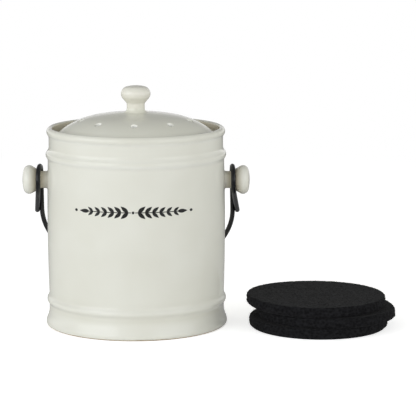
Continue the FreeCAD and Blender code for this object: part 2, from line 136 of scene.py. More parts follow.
# %% [markdown]
# ## Cream glaze on stoneware
# The crock, the lid and the knobs were dipped in an opaque cream glaze and fired. Glaze is glass over
# clay, so its IOR is about 1.5, and its surface is smooth with a faint ripple, a few hundredths of a
# millimetre deep. It runs thin and pale over a crest and pools in a hollow, where it looks deeper. Round
# the edge of each vent it is thinnest, and there it is also painted almost white, a painted highlight. On
# the crock's upper bead and lip some colour is painted light and shade: the creases of the bead and the
# hollow under the lip are painted paler, and the bead's ridge and the lip's crown darker, to make up for
# light that falls a little harder here than in a large studio.
# The foot is wiped bare, or it would stick to the kiln shelf, and its clay is tan and dull. A ramp
# over the height holds the glaze's thickness, from 0, thin, to 1, thick, together with the painted light
# and shade; colour follows it.

# %% Glaze thickness, with painted light and shade
# The count of the vents, and the radius of their ring, of a vent and of its rounded edge in millimetres.
VENT_COUNT = 9
VENT_RING = 52.5
VENT_MOUTH = 2.45
VENT_ROUND = 1.6


def thickness_and_shade_ramp(tree, way, marks):
    """Thickness of the glaze along a way, which also carries painted light and shade; marks are pairs of
    a place in mm and a thickness.
    """
    low, high = marks[0][0] * MM, marks[-1][0] * MM
    share = add(tree, "ShaderNodeMapRange", {"Value": way, "From Min": low, "From Max": high})
    ramp = add(tree, "ShaderNodeValToRGB", {"Fac": share})
    stops = ramp.color_ramp.elements
    stops.remove(stops[1])
    for mark, thick in marks:
        place = (mark * MM - low) / (high - low)
        stop = stops[0] if mark == marks[0][0] else stops.new(place)
        stop.position = place
        stop.color = (thick, thick, thick, 1.0)
    return ramp


def off_axis(tree, parts):
    """How far a point lies from the upright axis."""
    flat = add(tree, "ShaderNodeCombineXYZ", {"X": parts["X"], "Y": parts["Y"]})
    return add(tree, "ShaderNodeVectorMath", {0: flat}, operation="LENGTH").outputs["Value"]


def off_vents(tree, parts):
    """How far a point lies from the middle of the nearest vent, seen from above."""
    front = add(tree, "ShaderNodeMath", {0: parts["Y"], 1: -1.0}, operation="MULTIPLY")
    turn = add(tree, "ShaderNodeMath", {0: parts["X"], 1: front}, operation="ARCTAN2")
    half = math.pi / VENT_COUNT
    aside = add(tree, "ShaderNodeMath", {0: turn, 1: half, 2: -half}, operation="WRAP")
    way = add(tree, "ShaderNodeCombineXYZ", {
        "X": add(tree, "ShaderNodeMath", {0: aside}, operation="SINE"),
        "Y": add(tree, "ShaderNodeMath", {0: aside}, operation="COSINE")})
    spot = add(tree, "ShaderNodeVectorMath", {0: way, "Scale": off_axis(tree, parts)}, operation="SCALE")
    middle = (0.0, VENT_RING * MM, 0.0)
    return add(tree, "ShaderNodeVectorMath", {0: spot, 1: middle}, operation="DISTANCE").outputs["Value"]


print("vents:", VENT_COUNT, "on a ring with a radius in mm of", VENT_RING)

# %% Glaze material
# The size of each pattern in millimetres, how deep or wide some of them are, and the colours besides
# the thin and the pooled glaze: a painted highlight at the vents, a painted shade inside the crock, and
# the bare clay.
CLOUD = 45.0
RIPPLE = 14.0
PEEL = 3.0
WIPED_EDGE = 9.0
GRIT = 1.2
RIPPLE_DEPTH = 0.06 * MM
PEEL_DEPTH = 0.006 * MM
WIPED_SWAY = 0.9 * MM
WIPED_FROM = 0.3
WIPED_TO = 0.7
DRIFT = 0.35
VENT_THIN_AND_HIGHLIGHT_WHITE = "#F0F0EA"
INSIDE_PAINTED_SHADE = "#C9BDA2"
CLAY_DARK = "#8F7757"
CLAY_PALE = "#C2AB89"
CLAY_ROUGHNESS = 0.9


def glaze(name, marks, axis="Z", thin="#E3E3DB", pool_and_shade="#D5D4C8", bare_mm=0.0, inside_mm=0.0,
          vents=False):
    """Cream glaze, thick where marks along an axis say so, with painted light and shade where they carry
    it;
    below bare_mm the clay is left bare, within inside_mm of the upright axis it is a darker warm tan of
    painted shade, and round the vents it is thinnest and painted almost white, a painted highlight."""
    material, tree, place = start_material(name)
    parts = add(tree, "ShaderNodeSeparateXYZ", {"Vector": place}).outputs
    way = add(tree, "ShaderNodeMath", {0: parts[axis]}, operation="ABSOLUTE")
    cloud = add(tree, "ShaderNodeTexNoise", {"Vector": place, "Scale": per(CLOUD)})
    drift = add(tree, "ShaderNodeMapRange", {"Value": cloud, "To Min": -DRIFT, "To Max": DRIFT})
    thick = add(tree, "ShaderNodeMath", {0: thickness_and_shade_ramp(tree, way, marks), 1: drift}, operation="ADD")
    colour = add(tree, "ShaderNodeMix", {
        "Factor": thick, "A": linear(thin), "B": linear(pool_and_shade)}, data_type="RGBA")
    peel = add(tree, "ShaderNodeTexNoise", {"Vector": place, "Scale": per(PEEL)})
    rough = add(tree, "ShaderNodeMapRange", {"Value": peel, "To Min": 0.13, "To Max": 0.18})
    if vents:
        # Round each vent the glaze is thin, and the colour is painted almost white there: a painted
        # highlight on the vent's rounded edge.
        broken = add(tree, "ShaderNodeMapRange", {
            "Value": off_vents(tree, parts), "From Min": VENT_MOUTH * MM,
            "From Max": (VENT_MOUTH + VENT_ROUND / 2) * MM, "To Min": 1.0, "To Max": 0.0})
        colour = add(tree, "ShaderNodeMix", {
            "Factor": broken, "A": colour, "B": linear(VENT_THIN_AND_HIGHLIGHT_WHITE)}, data_type="RGBA")
    # Inside the crock the colour is a darker, warmer tan: painted shade on the inner wall.
    if inside_mm:
        inside_shade = add(tree, "ShaderNodeMapRange", {
            "Value": off_axis(tree, parts), "From Min": (inside_mm - 1.0) * MM,
            "From Max": inside_mm * MM, "To Min": 1.0, "To Max": 0.0})
        colour = add(tree, "ShaderNodeMix", {
            "Factor": inside_shade, "A": colour, "B": linear(INSIDE_PAINTED_SHADE)}, data_type="RGBA")
    if bare_mm:
        wobble = add(tree, "ShaderNodeTexNoise", {"Vector": place, "Scale": per(WIPED_EDGE)})
        edge = add(tree, "ShaderNodeMath", {0: wobble, 1: WIPED_SWAY, 2: parts["Z"]},
                   operation="MULTIPLY_ADD")
        bare = add(tree, "ShaderNodeMapRange", {
            "Value": edge, "From Min": (bare_mm + WIPED_FROM) * MM,
            "From Max": (bare_mm + WIPED_TO) * MM, "To Min": 1.0, "To Max": 0.0})
        grit = add(tree, "ShaderNodeTexNoise", {"Vector": place, "Scale": per(GRIT), "Detail": 3.0})
        clay = add(tree, "ShaderNodeMix", {
            "Factor": grit, "A": linear(CLAY_DARK), "B": linear(CLAY_PALE)}, data_type="RGBA")
        colour = add(tree, "ShaderNodeMix", {"Factor": bare, "A": colour, "B": clay}, data_type="RGBA")
        rough = add(tree, "ShaderNodeMix", {"Factor": bare, "A": rough, "B": CLAY_ROUGHNESS})
    ripple = add(tree, "ShaderNodeTexNoise", {"Vector": place, "Scale": per(RIPPLE), "Detail": 1.0})
    waves = add(tree, "ShaderNodeBump", {"Height": ripple, "Distance": RIPPLE_DEPTH})
    skin = add(tree, "ShaderNodeBump", {"Height": peel, "Distance": PEEL_DEPTH, "Normal": waves})
    return end_material(material, add(tree, "ShaderNodeBsdfPrincipled", {
        "Base Color": colour, "Roughness": rough, "IOR": 1.5, "Specular IOR Level": 0.42,
        "Normal": skin}))


print("patterns of the glaze in mm:", CLOUD, RIPPLE, PEEL)

# %% Glaze on each piece
# Pairs of a place and a thickness, which some marks use for painted light and shade: heights in mm, but
# for a side knob the way out from the upright axis.
# On the crock, 158.5 to 171.5 mm and 181.5 to 191.5 mm are painted light and shade: the creases of the
# upper bead and the hollow under the lip are painted paler, the bead's ridge and the lip's crown painted
# darker.
CROCK_GLAZE_AND_SHADE_MARKS = (
    (0.0, 0.6), (6.0, 0.4), (14.0, 0.5), (18.0, 0.8), (25.0, 0.4), (31.0, 0.6), (37.0, 0.5),
    (152.0, 0.5), (158.5, 0.5), (160.8, 0.4), (163.2, 0.0), (166.0, 0.7), (168.7, 0.3), (171.5, 0.6),
    (176.0, 0.5), (181.5, 0.5), (183.8, 0.1), (186.6, 0.7), (191.5, 0.7))
LID_MARKS = ((167.0, 0.5), (186.0, 0.3), (196.0, 0.5), (204.0, 0.6), (207.5, 0.8), (209.5, 0.6))
KNOB_MARKS = ((210.0, 0.6), (214.0, 0.5), (218.0, 0.8), (224.0, 0.2), (231.0, 0.3))
# On a side knob, 90 to 96.5 mm out is painted shade: the stem where the wire and the head shade it is
# painted darker, and the darker colour passed below is a warm tan for that painted shade.
SIDE_GLAZE_AND_SHADE_MARKS = (
    (84.0, 0.6), (86.5, 0.4), (90.0, 0.9), (96.5, 1.0), (100.0, 0.4), (103.0, 0.1), (109.5, 0.2))
side_knob_glaze = glaze("cream_dipped_glaze_on_side_knob", SIDE_GLAZE_AND_SHADE_MARKS, axis="X", pool_and_shade="#CBC2AB")
GLAZED = {
    "crock": glaze("cream_dipped_glaze_on_crock", CROCK_GLAZE_AND_SHADE_MARKS, bare_mm=1.0, inside_mm=81.0),
    "lid": glaze("cream_dipped_glaze_on_lid", LID_MARKS, thin="#E3E3D9", pool_and_shade="#D5D4C6", vents=True),
    "lid_knob": glaze("cream_dipped_glaze_on_lid_knob", KNOB_MARKS, thin="#E3E1D7", pool_and_shade="#DBD9CC"),
    "left_side_knob": side_knob_glaze,
    "right_side_knob": side_knob_glaze}
for node, finish in GLAZED.items():
    dress(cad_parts[node], finish)
    print(node, "wears", finish.name)

# %% [markdown]
# ## The fillets of slip at the side knobs
# A potter sticks a knob to the wall with wet clay, called slip, and wipes what squeezes out into a small
# hollow fillet. The saddle where a round stem meets a round wall is no circle, so a ray finds the wall
# for each point of the ring. The fillet is a closed ring of clay, sunk a little into both pieces.

# %% Slip fillets
SLIP = 1.6 * MM
SUNK = SLIP / 4
STEM_RADIUS = 8.3 * MM
AROUND = 96
BEND_STEPS = 8
crock_skin = BVHTree.FromObject(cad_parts["crock"], bpy.context.evaluated_depsgraph_get())


def on_wall(side, y, z):
    """Where a ray from the side meets the wall; side is -1 at the left and 1 at the right."""
    return crock_skin.ray_cast(Vector((side, y, z)), Vector((-side, 0.0, 0.0)))[0].x


def new_piece(name, mesh):
    """An object of that name, in the scene, for a finished mesh."""
    mesh.name = name
    piece = bpy.data.objects.new(name, mesh)
    scene.collection.objects.link(piece)
    return piece


def slip_fillet(name, side):
    """A ring of slip round one knob's stem, with a hollow face."""
    low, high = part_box(f"{name}_side_knob")
    axis = (low[2] + high[2]) / 2
    bends = [math.pi / 2 * step / BEND_STEPS for step in range(BEND_STEPS + 1)]
    section = [(SLIP * (1.0 - math.sin(bend)), SLIP * (1.0 - math.cos(bend))) for bend in bends]
    section.append((-SUNK, -SUNK))
    shape = bmesh.new()
    rings = []
    for step in range(AROUND):
        turn = math.tau * step / AROUND
        ring = []
        for out, up in section:
            y = (STEM_RADIUS + out) * math.cos(turn)
            z = axis + (STEM_RADIUS + out) * math.sin(turn)
            ring.append(shape.verts.new((on_wall(side, y, z) + side * up, y, z)))
        rings.append(ring)
    for here, ahead in zip(rings, rings[1:] + rings[:1]):
        for row in range(len(section)):
            shape.faces.new((here[row - 1], here[row], ahead[row], ahead[row - 1]))
    bmesh.ops.recalc_face_normals(shape, faces=shape.faces)
    mesh = bpy.data.meshes.new(name)
    shape.to_mesh(mesh)
    shape.free()
    mesh.shade_smooth()
    return new_piece(f"{name}_slip_fillet", mesh)


for name, side in (("left", -1.0), ("right", 1.0)):
    fillet = slip_fillet(name, side)
    dress(fillet, side_knob_glaze)
    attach(fillet, "bin")
    print(fillet.name, len(fillet.data.polygons), "faces")

# %% [markdown]
# ## Powder-coated wire
# The bail is mild steel wire with a baked black powder coat. Powder melts into a skin with a fine
# orange peel, so its highlights are narrow and a little broken. The coat is a plastic film and not bare
# metal, so metallic stays at zero, and its gloss is low enough to keep the wire dark at its edges.

# %% Wire material
COAT_PEEL = 0.9
COAT_PATCH = 12.0
COAT_DEPTH = 0.015 * MM


def powder_coat(name):
    """Black baked powder: near black, with soft narrow highlights."""
    material, tree, place = start_material(name)
    peel = add(tree, "ShaderNodeTexNoise", {"Vector": place, "Scale": per(COAT_PEEL)})
    patch = add(tree, "ShaderNodeTexNoise", {"Vector": place, "Scale": per(COAT_PATCH)})
    colour = add(tree, "ShaderNodeMix", {
        "Factor": patch, "A": linear("#0F0F11"), "B": linear("#18181B")}, data_type="RGBA")
    rough = add(tree, "ShaderNodeMapRange", {"Value": patch, "To Min": 0.12, "To Max": 0.17})
    bump = add(tree, "ShaderNodeBump", {"Height": peel, "Distance": COAT_DEPTH})
    return end_material(material, add(tree, "ShaderNodeBsdfPrincipled", {
        "Base Color": colour, "Roughness": rough, "Normal": bump, "IOR": 1.45,
        "Specular IOR Level": 0.45}))


wire_coat = powder_coat("black_powder_coated_steel_wire")
dress(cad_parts["bail_handle"], wire_coat)
print("bail_handle wears", wire_coat.name)

# %% [markdown]
# ## The printed sprig
# The front of the crock carries a small black print under the glaze. A sprig of leaves with a dot at
# each end stands there. Leaves repeat, so a Geometry Nodes tree draws one leaf as a bent grid, sets it
# in pairs along a stem, turns a copy of that half round, and then presses the flat drawing on the wall
# with a ray for every point. The same drawing would follow any wall. Solidify then gives the ink a
# body, a tenth of a millimetre that is mostly in the glaze.

# %% Print material
INK_CLOUD = 2.5


def under_glaze_print(name):
    """Black ceramic ink under clear glaze: deep black, a little uneven, and duller than the wall."""
    material, tree, place = start_material(name)
    cloud = add(tree, "ShaderNodeTexNoise", {"Vector": place, "Scale": per(INK_CLOUD), "Detail": 3.0})
    ink = add(tree, "ShaderNodeMix", {
        "Factor": cloud, "A": linear("#141414"), "B": linear("#262625")}, data_type="RGBA")
    peel = add(tree, "ShaderNodeTexNoise", {"Vector": place, "Scale": per(PEEL)})
    rough = add(tree, "ShaderNodeMapRange", {"Value": peel, "To Min": 0.24, "To Max": 0.34})
    return end_material(material, add(tree, "ShaderNodeBsdfPrincipled", {
        "Base Color": ink, "Roughness": rough, "IOR": 1.5}))


ink_black = under_glaze_print("black_under_glaze_print")
print("print:", ink_black.name)

# %% Sprig tree
SPRIG_SIZES = {
    "Pairs": 6, "First Pair": 4.5 * MM, "Spacing": 6.6 * MM, "Leaf Length": 9.2 * MM,
    "Leaf Width": 3.7 * MM, "Leaf Angle": math.radians(40.0), "Last Size": 0.62,
    "Stem Length": 41.0 * MM, "Stem Width": 0.8 * MM, "Stem Middle": 22.5 * MM, "Dot Radius": 1.3 * MM,
    "Dot Place": 53.5 * MM, "Height": 121.5 * MM, "Lift": 0.04 * MM, "Crock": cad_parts["crock"],
    "Ink": ink_black}
LEAF_FULLNESS = 0.8
SOCKETS = {int: "NodeSocketInt", float: "NodeSocketFloat", bpy.types.Object: "NodeSocketObject",
           bpy.types.Material: "NodeSocketMaterial"}


def start_tree(name, sizes):
    """A geometry tree with a named input for each size: itself, its inputs and their identifiers."""
    tree = bpy.data.node_groups.new(name, "GeometryNodeTree")
    tree.interface.new_socket("Geometry", in_out="INPUT", socket_type="NodeSocketGeometry")
    tree.interface.new_socket("Geometry", in_out="OUTPUT", socket_type="NodeSocketGeometry")
    keys = {}
    for size, value in sizes.items():
        socket = tree.interface.new_socket(size, in_out="INPUT", socket_type=SOCKETS[type(value)])
        keys[size] = socket.identifier
    return tree, add(tree, "NodeGroupInput").outputs, keys


def leaf(tree, given):
    """One leaf along +X: a grid whose half width follows a sine, fuller near its foot."""
    grid = add(tree, "GeometryNodeMeshGrid", {
        "Size X": 1.0, "Size Y": 1.0, "Vertices X": 13, "Vertices Y": 5})
    at = add(tree, "ShaderNodeSeparateXYZ", {"Vector": add(tree, "GeometryNodeInputPosition")}).outputs
    along = add(tree, "ShaderNodeMath", {0: at["X"], 1: 0.5}, operation="ADD")
    fuller = add(tree, "ShaderNodeMath", {0: along, 1: LEAF_FULLNESS}, operation="POWER")
    bend = add(tree, "ShaderNodeMath", {0: fuller, 1: math.pi}, operation="MULTIPLY")
    swell = add(tree, "ShaderNodeMath", {0: bend}, operation="SINE")
    share = add(tree, "ShaderNodeMath", {0: at["Y"], 1: swell}, operation="MULTIPLY")
    across = add(tree, "ShaderNodeMath", {0: share, 1: given["Leaf Width"]}, operation="MULTIPLY")
    ahead = add(tree, "ShaderNodeMath", {0: along, 1: given["Leaf Length"]}, operation="MULTIPLY")
    spot = add(tree, "ShaderNodeCombineXYZ", {"X": ahead, "Y": across})
    return add(tree, "GeometryNodeSetPosition", {"Geometry": grid, "Position": spot})


def half_sprig(tree, given):
    """Leaves in pairs along +X, smaller towards the tip, a leaf at the tip, the stem and a dot."""
    blade = leaf(tree, given)
    first = add(tree, "ShaderNodeCombineXYZ", {"X": given["First Pair"]})
    pitch = add(tree, "ShaderNodeCombineXYZ", {"X": given["Spacing"]})
    spots = add(tree, "GeometryNodeMeshLine", {
        "Count": given["Pairs"], "Start Location": first, "Offset": pitch}, mode="OFFSET")
    size = add(tree, "ShaderNodeMapRange", {
        "Value": add(tree, "GeometryNodeInputIndex"), "From Max": given["Pairs"],
        "To Min": 1.0, "To Max": given["Last Size"]})
    parts = []
    for side in (1.0, -1.0):
        turn = add(tree, "ShaderNodeMath", {0: given["Leaf Angle"], 1: side}, operation="MULTIPLY")
        parts.append(add(tree, "GeometryNodeInstanceOnPoints", {
            "Points": spots, "Instance": blade, "Scale": size,
            "Rotation": add(tree, "ShaderNodeCombineXYZ", {"Z": turn})}))
    stem = add(tree, "GeometryNodeMeshGrid", {
        "Size X": given["Stem Length"], "Size Y": given["Stem Width"],
        "Vertices X": 60, "Vertices Y": 2})
    dot = add(tree, "GeometryNodeMeshCircle", {"Vertices": 32, "Radius": given["Dot Radius"]},
              fill_type="TRIANGLE_FAN")
    for shape, out in ((blade, "Stem Length"), (stem, "Stem Middle"), (dot, "Dot Place")):
        parts.append(add(tree, "GeometryNodeTransform", {
            "Geometry": shape, "Translation": add(tree, "ShaderNodeCombineXYZ", {"X": given[out]})}))
    return add(tree, "GeometryNodeJoinGeometry", {"Geometry": parts}), dot


def pressed_on_wall(tree, given, flat):
    """Each point of a flat drawing goes to where a ray from the front meets the crock's wall."""
    at = add(tree, "ShaderNodeSeparateXYZ", {"Vector": add(tree, "GeometryNodeInputPosition")}).outputs
    height = add(tree, "ShaderNodeMath", {0: at["Y"], 1: given["Height"]}, operation="ADD")
    far = add(tree, "ShaderNodeCombineXYZ", {"X": at["X"], "Y": -1.0, "Z": height})
    wall = add(tree, "GeometryNodeObjectInfo", {"Object": given["Crock"]}).outputs["Geometry"]
    ray = add(tree, "GeometryNodeRaycast", {
        "Target Geometry": wall, "Source Position": far, "Ray Direction": (0.0, 1.0, 0.0),
        "Ray Length": 1.0}).outputs
    out = add(tree, "ShaderNodeVectorMath", {0: ray["Hit Normal"], "Scale": given["Lift"]},
              operation="SCALE")
    spot = add(tree, "ShaderNodeVectorMath", {0: ray["Hit Position"], 1: out}, operation="ADD")
    return add(tree, "GeometryNodeSetPosition", {"Geometry": flat, "Position": spot})


def sprig_tree():
    """Two half sprigs and a dot between them, on the wall."""
    tree, given, keys = start_tree("sprig", SPRIG_SIZES)
    right, dot = half_sprig(tree, given)
    left = add(tree, "GeometryNodeTransform", {"Geometry": right, "Rotation": (0.0, 0.0, math.pi)})
    whole = add(tree, "GeometryNodeJoinGeometry", {"Geometry": [right, left, dot]})
    real = add(tree, "GeometryNodeRealizeInstances", {"Geometry": whole})
    inked = add(tree, "GeometryNodeSetMaterial", {
        "Geometry": pressed_on_wall(tree, given, real), "Material": given["Ink"]})
    add(tree, "NodeGroupOutput", {"Geometry": inked})
    return tree, keys


def grown(name, tree, keys, sizes, base=None, body=0.0):
    """The plain mesh object that a geometry tree makes, from a base mesh where it needs one; a flat
    drawing gets a body of this thickness, inwards."""
    helper = bpy.data.objects.new(f"{name}_helper", base or bpy.data.meshes.new(name))
    scene.collection.objects.link(helper)
    modifier = helper.modifiers.new("tree", "NODES")
    modifier.node_group = tree
    for size, value in sizes.items():
        modifier[keys[size]] = value
    if body:
        solid = helper.modifiers.new("body", "SOLIDIFY")
        solid.thickness = body
        solid.offset = -1.0
    graph = bpy.context.evaluated_depsgraph_get()
    mesh = bpy.data.meshes.new_from_object(helper.evaluated_get(graph))
    bpy.data.objects.remove(helper)
    return new_piece(name, mesh)


print("sizes of the sprig:", ", ".join(SPRIG_SIZES))

# %% Sprig on the wall
INK_BODY = 0.1 * MM
sprig = grown("printed_sprig", *sprig_tree(), SPRIG_SIZES, body=INK_BODY)
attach(sprig, "bin")
print(sprig.name, len(sprig.data.polygons), "faces, width in mm:", round(sprig.dimensions.x / MM, 1))

# %% [markdown]
# ## Carbon felt
# A filter pad is needled polyester felt loaded with carbon powder: dull black and grainy, with small
# pits where the needles went in and a faint grey bloom of stray fibres at grazing angles, which the
# shader's sheen gives. The grain is about 2 mm, and it runs along the layers of the sheet that the pad
# was cut from, so it is drawn long in X and short in Z.

# %% Felt material
FELT_GRAIN = 2.0
NEEDLE_GAP = 2.6
SHEET_LAY = (0.45, 0.8, 1.8)
PIT_DEPTH = 0.4 * MM


def needled_felt(name, dark, pale):
    """Black felt: no gloss, a fine grain, and pits about as far apart as the needles."""
    material, tree, place = start_material(name)
    along = add(tree, "ShaderNodeMapping", {"Vector": place, "Scale": SHEET_LAY})
    grain = add(tree, "ShaderNodeTexNoise", {"Vector": along, "Scale": per(FELT_GRAIN), "Detail": 4.0})
    pits = add(tree, "ShaderNodeTexVoronoi", {"Vector": place, "Scale": per(NEEDLE_GAP)})
    relief = add(tree, "ShaderNodeMath", {0: grain, 1: pits}, operation="MULTIPLY")
    shade = add(tree, "ShaderNodeMapRange", {"Value": relief, "From Min": 0.06, "From Max": 0.42})
    colour = add(tree, "ShaderNodeMix", {
        "Factor": shade, "A": linear(dark), "B": linear(pale)}, data_type="RGBA")
    bump = add(tree, "ShaderNodeBump", {"Height": relief, "Distance": PIT_DEPTH})
    return end_material(material, add(tree, "ShaderNodeBsdfPrincipled", {
        "Base Color": colour, "Roughness": 0.95, "Normal": bump, "Specular IOR Level": 0.05,
        "Sheen Weight": 0.03, "Sheen Roughness": 0.5}))


felt = needled_felt("carbon_loaded_needled_felt", "#0E0E0F", "#202022")
stray_fibre = needled_felt("stray_carbon_fibre", "#0C0C0D", "#1F1F21")
print("felt:", felt.name, "and", stray_fibre.name)

# %% [markdown]
# ## The filter pads
# Each pad is a disc punched from a sheet of felt. Its faces are uneven, its edge is tufted and not quite
# round, and it hangs a little where nothing bears it. A cloth simulation tends to swell a pad like a
# cushion, so the solid is remeshed into small even cells instead, and each point is moved by a seeded
# noise: faces only sink, so that the stack stays a stack, the edge goes in and out, and its lower side
# is tucked in as the punch leaves it, which draws a dark line under each pad. Loose fibres blur the
# shade of such tufts, so the normals are mostly those of the plain disc.

# %% Even cells
CELL = 0.9 * MM
SAME_POINT = 0.001 * MM


def remeshed(node):
    """A copy of a solid's mesh, merged and cut into even cells."""
    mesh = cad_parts[node].data.copy()
    shape = bmesh.new()
    shape.from_mesh(mesh)
    bmesh.ops.remove_doubles(shape, verts=shape.verts, dist=SAME_POINT)
    shape.to_mesh(mesh)
    shape.free()
    helper = bpy.data.objects.new(f"{node}_helper", mesh)
    scene.collection.objects.link(helper)
    cells = helper.modifiers.new("cells", "REMESH")
    cells.mode = "VOXEL"
    cells.voxel_size = CELL
    graph = bpy.context.evaluated_depsgraph_get()
    even = bpy.data.meshes.new_from_object(helper.evaluated_get(graph))
    bpy.data.objects.remove(helper)
    return even


print("cells in mm:", round(CELL / MM, 1))

# %% Felted surface
# How deep the faces and the edge go, how wide the edge and its tuck are, and the sizes of grain and tuft.
# The grain is a fractal noise: how fast its finer steps fade, how much finer each is, and how many.
FACE_DEPTH = 0.6 * MM
EDGE_DEPTH = 0.9 * MM
EDGE_BAND = 2.5 * MM
TUCK = 2.4 * MM
TUCK_HEIGHT = 3.0 * MM
GRAIN = 2.4 * MM
GRAIN_FALL = 0.9
GRAIN_STEP = 2.0
GRAIN_STEPS = 3
GRAIN_ON_EDGE = 0.4
TUFT = 3.4 * MM
DROOP_FROM = 0.7
DROOP_SPAN = 0.3
LAYERS = Vector((1.2, 1.2, 1.8))
SEED_STEP = Vector((0.37, 0.11, 0.0))
RELIEF_SHARE = 0.3


def felted(node, seed, tilt, droop):
    """A felt pad in the room of a solid; tilt lifts its left side, droop lowers its right end."""
    mesh = remeshed(node)
    low, high = (Vector(corner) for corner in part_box(node))
    middle, radius = (low + high) / 2, (high.x - low.x) / 2
    plain = [vertex.normal.copy() for vertex in mesh.vertices]
    for point, normal in zip(mesh.vertices, plain):
        at = (point.co + SEED_STEP * seed) * LAYERS
        grain = noise.fractal(at / GRAIN, GRAIN_FALL, GRAIN_STEP, GRAIN_STEPS)
        tuft = noise.noise(at / TUFT)
        out = Vector((point.co.x - middle.x, point.co.y - middle.y, 0.0))
        edge = min(max((out.length - radius) / EDGE_BAND + 1.0, 0.0), 1.0)
        tuck = TUCK * max(1.0 - (point.co.z - low.z) / TUCK_HEIGHT, 0.0) ** 2
        point.co += out.normalized() * (EDGE_DEPTH * (tuft + GRAIN_ON_EDGE * grain) - tuck) * edge
        sink = 0.5 + 0.5 * min(max(grain + tuft, -1.0), 1.0)
        point.co.z -= FACE_DEPTH * sink * max(normal.z, 0.0)
        right = (point.co.x - middle.x) / radius
        hang = max((right - DROOP_FROM) / DROOP_SPAN, 0.0)
        point.co.z += tilt * max(-right, 0.0) ** 2 - droop * hang ** 2
        point.co.z = max(point.co.z, 0.0)
    mesh.update()
    mesh.shade_smooth()
    mesh.normals_split_custom_set_from_vertices([
        flat.lerp(point.normal, RELIEF_SHARE).normalized() for flat, point in zip(plain, mesh.vertices)])
    return new_piece(f"{node}_felt", mesh)


print("depth in mm:", round(FACE_DEPTH / MM, 1), "on faces,", round(EDGE_DEPTH / MM, 1), "at the edge")

# %% Pads
# Each pad's node and body, how far its left side is lifted, and how far its right end hangs down.
PADS = (
    ("spare_filter_bottom", "bottom_pad", 0.0, 0.0),
    ("spare_filter_middle", "middle_pad", 0.0, 2.0 * MM),
    ("spare_filter_top", "top_pad", 1.3 * MM, 0.0),
    ("fitted_filter", "fitted_pad", 0.0, 0.0))
felt_pads = {}
for seed, (node, body, tilt, droop) in enumerate(PADS, 1):
    pad = felted(node, seed, tilt, droop)
    dress(pad, felt)
    felt_pads[node] = pad
    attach(pad, body)
    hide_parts(node)
    print(pad.name, len(pad.data.polygons), "faces")

# %% [markdown]
# ## Stray fibres on the pads
# Fuzz breaks the outline of felt. Thousands of short bent fibres would be slow to place by hand, so a
# Geometry Nodes tree scatters one small fibre over a pad, turned and scaled by a fixed seed, and makes
# them real. It keeps to faces that look out, and off the lowest band of a pad, so that no fibre goes
# into the table or the pad below.

# %% Fibre tree


def fibre_shape():
    """One bent fibre a millimetre long, four-sided, to be scaled; its stops are a place and a radius."""
    stops = ((0.0, 0.0, -0.2, 0.09), (0.1, 0.04, 0.2, 0.08), (0.3, 0.02, 0.5, 0.06),
             (0.6, -0.08, 0.65, 0.03))
    square = ((-1, 0), (0, -1), (1, 0), (0, 1))
    points = [(x + thick * dx, y + thick * dy, z) for x, y, z, thick in stops for dx, dy in square]
    faces = [(3, 2, 1, 0), (12, 13, 14, 15)]
    for ring in range(0, 12, 4):
        faces += [(ring + k, ring + (k + 1) % 4, ring + (k + 1) % 4 + 4, ring + k + 4) for k in range(4)]
    mesh = bpy.data.meshes.new("fibre")
    mesh.from_pydata([Vector(point) * MM for point in points], [], faces)
    return bpy.data.objects.new("fibre", mesh)


FIBRE_SIZES = {
    "Per Square Metre": 110000.0, "Seed": 1, "Facing": 1.0, "Least Facing": -0.35, "Lowest": 0.0,
    "Shortest": 0.7, "Longest": 1.7, "Fibre": fibre_shape(), "Felt": stray_fibre}
LEAN = 0.9


def fuzz_tree():
    """Fibres strewn over the faces that look the right way, above a lowest height."""
    tree, given, keys = start_tree("fuzz", FIBRE_SIZES)
    normal = add(tree, "ShaderNodeSeparateXYZ", {"Vector": add(tree, "GeometryNodeInputNormal")}).outputs
    facing = add(tree, "ShaderNodeMath", {0: normal["Z"], 1: given["Facing"]}, operation="MULTIPLY")
    seen = add(tree, "ShaderNodeMath", {0: facing, 1: given["Least Facing"]}, operation="GREATER_THAN")
    at = add(tree, "ShaderNodeSeparateXYZ", {"Vector": add(tree, "GeometryNodeInputPosition")}).outputs
    clear = add(tree, "ShaderNodeMath", {0: at["Z"], 1: given["Lowest"]}, operation="GREATER_THAN")
    both = add(tree, "ShaderNodeMath", {0: seen, 1: clear}, operation="MULTIPLY")
    spots = add(tree, "GeometryNodeDistributePointsOnFaces", {
        "Mesh": given["Geometry"], "Selection": both, "Density": given["Per Square Metre"],
        "Seed": given["Seed"]}).outputs
    lean = add(tree, "FunctionNodeRandomValue", {
        "Min": (-LEAN, -LEAN, -math.pi), "Max": (LEAN, LEAN, math.pi), "Seed": given["Seed"]},
        data_type="FLOAT_VECTOR")
    turned = add(tree, "FunctionNodeRotateRotation", {
        "Rotation": spots["Rotation"], "Rotate By": lean}, rotation_space="LOCAL")
    size = add(tree, "FunctionNodeRandomValue", {
        "Min": given["Shortest"], "Max": given["Longest"], "Seed": given["Seed"]}, data_type="FLOAT")
    shape = add(tree, "GeometryNodeObjectInfo", {"Object": given["Fibre"]}).outputs["Geometry"]
    strewn = add(tree, "GeometryNodeInstanceOnPoints", {
        "Points": spots["Points"], "Instance": shape, "Rotation": turned, "Scale": size})
    real = add(tree, "GeometryNodeRealizeInstances", {"Geometry": strewn})
    dyed = add(tree, "GeometryNodeSetMaterial", {"Geometry": real, "Material": given["Felt"]})
    add(tree, "NodeGroupOutput", {"Geometry": dyed})
    return tree, keys


print("sizes of the fuzz:", ", ".join(FIBRE_SIZES))

